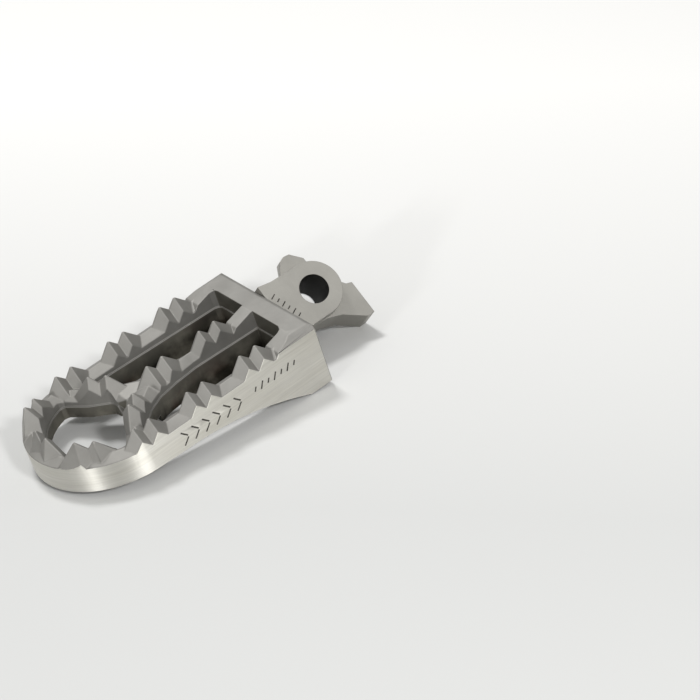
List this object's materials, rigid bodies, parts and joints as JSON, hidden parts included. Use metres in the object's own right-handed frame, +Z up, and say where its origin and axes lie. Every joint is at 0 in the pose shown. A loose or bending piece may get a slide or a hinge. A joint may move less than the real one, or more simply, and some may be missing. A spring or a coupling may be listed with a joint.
{
  "type": "foot peg",
  "caption": "Folding off-road motorcycle foot peg: cleated open deck on a pivot lug with a stop tail, a return spring and a thrust washer.",
  "frame": {"origin": "middle of the pivot bore", "axes": "+X from the deck's tip towards the stop tail, +Y rearwards on the motorcycle, +Z up, square to the deck's cleats"},
  "size_m": [0.1265, 0.055, 0.035],
  "materials": {
    "cast_steel": "cast stainless steel, side walls brushed, cleats blasted",
    "blasted_steel": "blasted cast stainless steel",
    "spring_steel": "oiled spring wire",
    "zinc_plate": "zinc plated"
  },
  "bodies": {
    "bracket_side": {"thrust_washer": "zinc_plate", "return_spring": "spring_steel"},
    "peg": {"deck": "cast_steel", "pivot_lug": "blasted_steel"}
  },
  "joints": [
    {"name": "fold", "type": "hinge", "parent": "bracket_side", "child": "peg", "pos_m": [0, 0, 0], "axis": [0, 0.7071, -0.7071], "range_deg": [0, 65], "stiffness_Nm_per_rad": 0.25, "springref_deg": -68.75, "deforming": ["return_spring"]}
  ]
}
